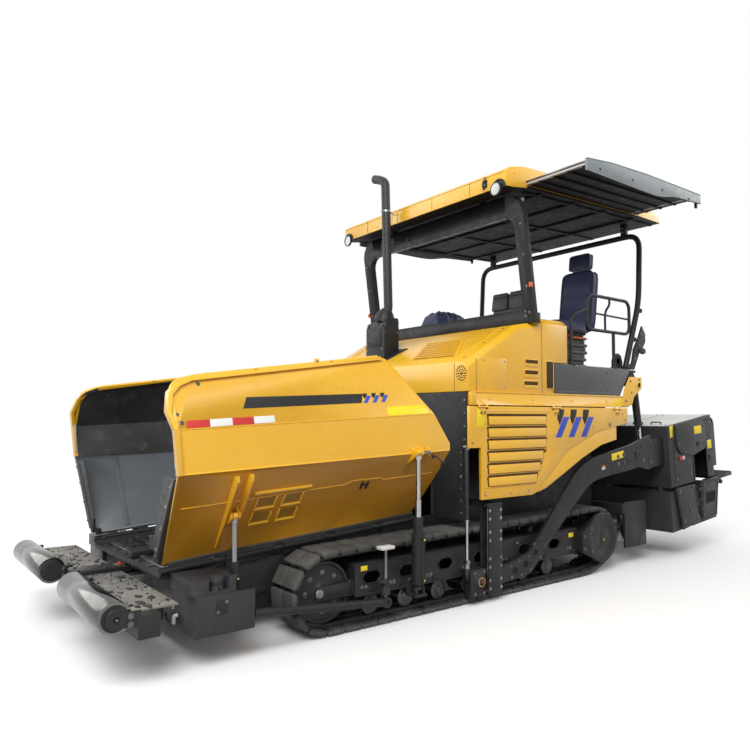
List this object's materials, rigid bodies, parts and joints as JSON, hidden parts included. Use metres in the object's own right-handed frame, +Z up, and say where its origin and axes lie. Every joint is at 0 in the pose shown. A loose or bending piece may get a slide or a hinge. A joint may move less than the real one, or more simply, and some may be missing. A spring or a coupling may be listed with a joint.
{
  "type": "asphalt paver",
  "caption": "Crawler asphalt paver: feed hopper with folding wings, push rollers, tow arms, heated screed with sliding extensions and an open canopy",
  "frame": {"origin": "on the ground under the middle of the bounding box", "axes": "+Z up, the machine faces -Y, +X is its left side; the middle plane is at x = -0.341 because one roof extension is out"},
  "size_m": [3.278, 7.3429, 4.1555],
  "materials": {
    "yellow_paint": "semi-gloss machine yellow, dusty",
    "dark_grey_paint": "satin dark grey",
    "black_paint": "satin black",
    "worn_steel": "bare worn steel",
    "track_rubber": "rubber pads on steel, dusty",
    "chrome_rod": "polished rod",
    "seat_vinyl": "navy vinyl",
    "exhaust_steel": "heat-stained steel"
  },
  "bodies": {
    "chassis": {"track_left": "track_rubber", "track_right": "track_rubber", "track_frames": "black_paint", "track_wheels": "black_paint", "final_drives": "black_paint", "main_frame": "black_paint", "front_wall": "black_paint", "engine": "dark_grey_paint", "hopper_floor": "black_paint", "conveyor_slats": "worn_steel", "front_bumper": "dark_grey_paint", "side_struts": "dark_grey_paint", "side_rails": "yellow_paint", "hood": "yellow_paint", "side_boxes": "dark_grey_paint", "platform": "black_paint", "console": "black_paint", "seat_bases": "black_paint", "seats": "seat_vinyl", "handrails": "black_paint", "canopy_roof": "yellow_paint", "canopy_front_frame": "black_paint", "canopy_rear_frame": "black_paint", "work_lamps": "black_paint", "exhaust": "exhaust_steel", "guide_posts": "black_paint", "levelling_barrels": "black_paint", "auger_mount": "black_paint"},
    "wing_left": {"hopper_wing_left": "yellow_paint"},
    "wing_right": {"hopper_wing_right": "yellow_paint"},
    "push_beam": {"push_beam": "worn_steel"},
    "push_roller_left": {"push_roller_left": "worn_steel"},
    "push_roller_right": {"push_roller_right": "worn_steel"},
    "tow_carriage": {"tow_carriages": "black_paint"},
    "screed": {"tow_arms": "dark_grey_paint", "screed_main": "dark_grey_paint", "screed_housing": "dark_grey_paint"},
    "lift_barrels": {"lift_barrels": "black_paint"},
    "lift_rods": {"lift_rods": "chrome_rod"},
    "screed_extension_left": {"screed_extension_left": "dark_grey_paint"},
    "screed_extension_right": {"screed_extension_right": "dark_grey_paint"},
    "auger_left": {"auger_left": "worn_steel"},
    "auger_right": {"auger_right": "worn_steel"},
    "side_door_left": {"side_door_left": "yellow_paint"},
    "side_door_right": {"side_door_right": "yellow_paint"},
    "canopy_extension_left": {"canopy_extension_left": "dark_grey_paint"},
    "canopy_extension_right": {"canopy_extension_right": "dark_grey_paint"},
    "wing_barrel_rear_left": {"wing_barrel_rear_left": "black_paint"},
    "wing_rod_rear_left": {"wing_rod_rear_left": "chrome_rod"},
    "wing_barrel_rear_right": {"wing_barrel_rear_right": "black_paint"},
    "wing_rod_rear_right": {"wing_rod_rear_right": "chrome_rod"},
    "wing_barrel_front_left": {"wing_barrel_front_left": "black_paint"},
    "wing_rod_front_left": {"wing_rod_front_left": "chrome_rod"},
    "wing_barrel_front_right": {"wing_barrel_front_right": "black_paint"},
    "wing_rod_front_right": {"wing_rod_front_right": "chrome_rod"}
  },
  "joints": [
    {"name": "wing_left_fold", "type": "hinge", "parent": "chassis", "child": "wing_left", "pos_m": [0.439, -3.16855, 0.553], "axis": [0, 0.9975, 0.071], "range_deg": [0, 48]},
    {"name": "wing_barrel_rear_left_swing", "type": "hinge", "parent": "chassis", "child": "wing_barrel_rear_left", "pos_m": [0.843, -1.32155, 0.238], "axis": [0, 0.9975, 0.071], "range_deg": [0, 32.98]},
    {"name": "wing_rod_rear_left_slide", "type": "slide", "parent": "wing_barrel_rear_left", "child": "wing_rod_rear_left", "axis": [0.0834, -0.0708, 0.994], "range_m": [-0.44156, 0]},
    {"name": "wing_barrel_front_left_swing", "type": "hinge", "parent": "chassis", "child": "wing_barrel_front_left", "pos_m": [0.644, -2.74155, 0.262], "axis": [0, 0.9975, 0.071], "range_deg": [0, 27.73]},
    {"name": "wing_rod_front_left_slide", "type": "slide", "parent": "wing_barrel_front_left", "child": "wing_rod_front_left", "axis": [0.1146, -0.0706, 0.9909], "range_m": [-0.25137, 0]},
    {"name": "wing_right_fold", "type": "hinge", "parent": "chassis", "child": "wing_right", "pos_m": [-1.121, -3.16855, 0.553], "axis": [0, -0.9975, -0.071], "range_deg": [0, 48]},
    {"name": "wing_barrel_rear_right_swing", "type": "hinge", "parent": "chassis", "child": "wing_barrel_rear_right", "pos_m": [-1.525, -1.32155, 0.238], "axis": [0, -0.9975, -0.071], "range_deg": [0, 32.98]},
    {"name": "wing_rod_rear_right_slide", "type": "slide", "parent": "wing_barrel_rear_right", "child": "wing_rod_rear_right", "axis": [-0.0834, -0.0708, 0.994], "range_m": [-0.44156, 0]},
    {"name": "wing_barrel_front_right_swing", "type": "hinge", "parent": "chassis", "child": "wing_barrel_front_right", "pos_m": [-1.326, -2.74155, 0.262], "axis": [0, -0.9975, -0.071], "range_deg": [0, 27.73]},
    {"name": "wing_rod_front_right_slide", "type": "slide", "parent": "wing_barrel_front_right", "child": "wing_rod_front_right", "axis": [-0.1146, -0.0706, 0.9909], "range_m": [-0.25137, 0]},
    {"name": "push_beam_swing", "type": "hinge", "parent": "chassis", "child": "push_beam", "pos_m": [-0.341, -3.19355, 0.35], "axis": [0, 0, 1], "range_deg": [-4, 4]},
    {"name": "push_roller_left_spin", "type": "hinge", "parent": "push_beam", "child": "push_roller_left", "pos_m": [0.439, -3.57955, 0.436], "axis": [1, 0, 0], "continuous": true},
    {"name": "push_roller_right_spin", "type": "hinge", "parent": "push_beam", "child": "push_roller_right", "pos_m": [-1.121, -3.57955, 0.436], "axis": [1, 0, 0], "continuous": true},
    {"name": "tow_point_height", "type": "slide", "parent": "chassis", "child": "tow_carriage", "axis": [0, 0, 1], "range_m": [0, 0.3]},
    {"name": "screed_lift", "type": "hinge", "parent": "tow_carriage", "child": "screed", "pos_m": [-0.341, -0.65755, 0.188], "axis": [1, 0, 0], "range_deg": [-5.5, 0]},
    {"name": "lift_barrels_swing", "type": "hinge", "parent": "chassis", "child": "lift_barrels", "pos_m": [-0.341, 1.79645, 1.93], "axis": [1, 0, 0], "range_deg": [0, 2.26]},
    {"name": "lift_rods_slide", "type": "slide", "parent": "lift_barrels", "child": "lift_rods", "axis": [0, 0.1753, -0.9845], "range_m": [0, 0.26421]},
    {"name": "screed_extension_left_slide", "type": "slide", "parent": "screed", "child": "screed_extension_left", "axis": [1, 0, 0], "range_m": [0, 0.9]},
    {"name": "screed_extension_right_slide", "type": "slide", "parent": "screed", "child": "screed_extension_right", "axis": [-1, 0, 0], "range_m": [0, 0.9]},
    {"name": "auger_left_spin", "type": "hinge", "parent": "chassis", "child": "auger_left", "pos_m": [0.234, 1.89645, 0.34], "axis": [1, 0, 0], "continuous": true},
    {"name": "auger_right_spin", "type": "hinge", "parent": "chassis", "child": "auger_right", "pos_m": [-0.916, 1.89645, 0.34], "axis": [1, 0, 0], "continuous": true},
    {"name": "side_door_left_lift", "type": "hinge", "parent": "chassis", "child": "side_door_left", "pos_m": [0.883, -0.00355, 1.648], "axis": [0, -1, 0], "range_deg": [0, 80]},
    {"name": "side_door_right_lift", "type": "hinge", "parent": "chassis", "child": "side_door_right", "pos_m": [-1.565, -0.00355, 1.648], "axis": [0, 1, 0], "range_deg": [0, 80]},
    {"name": "canopy_extension_left_slide", "type": "slide", "parent": "chassis", "child": "canopy_extension_left", "axis": [1, 0, 0], "range_m": [-0.68, 0]},
    {"name": "canopy_extension_right_slide", "type": "slide", "parent": "chassis", "child": "canopy_extension_right", "axis": [-1, 0, 0], "range_m": [0, 0.68]}
  ],
  "couplings": [
    {"joint": "wing_barrel_rear_left_swing", "follows": "wing_left_fold", "ratio": 0.68681},
    {"joint": "wing_rod_rear_left_slide", "follows": "wing_left_fold", "m_per_rad": -0.52696},
    {"joint": "wing_barrel_front_left_swing", "follows": "wing_left_fold", "ratio": 0.57757},
    {"joint": "wing_rod_front_left_slide", "follows": "wing_left_fold", "m_per_rad": -0.29994},
    {"joint": "wing_barrel_rear_right_swing", "follows": "wing_right_fold", "ratio": 0.68681},
    {"joint": "wing_rod_rear_right_slide", "follows": "wing_right_fold", "m_per_rad": -0.52696},
    {"joint": "wing_barrel_front_right_swing", "follows": "wing_right_fold", "ratio": 0.57757},
    {"joint": "wing_rod_front_right_slide", "follows": "wing_right_fold", "m_per_rad": -0.29994},
    {"joint": "lift_barrels_swing", "follows": "screed_lift", "ratio": -0.40975},
    {"joint": "lift_rods_slide", "follows": "screed_lift", "m_per_rad": -2.7514}
  ]
}
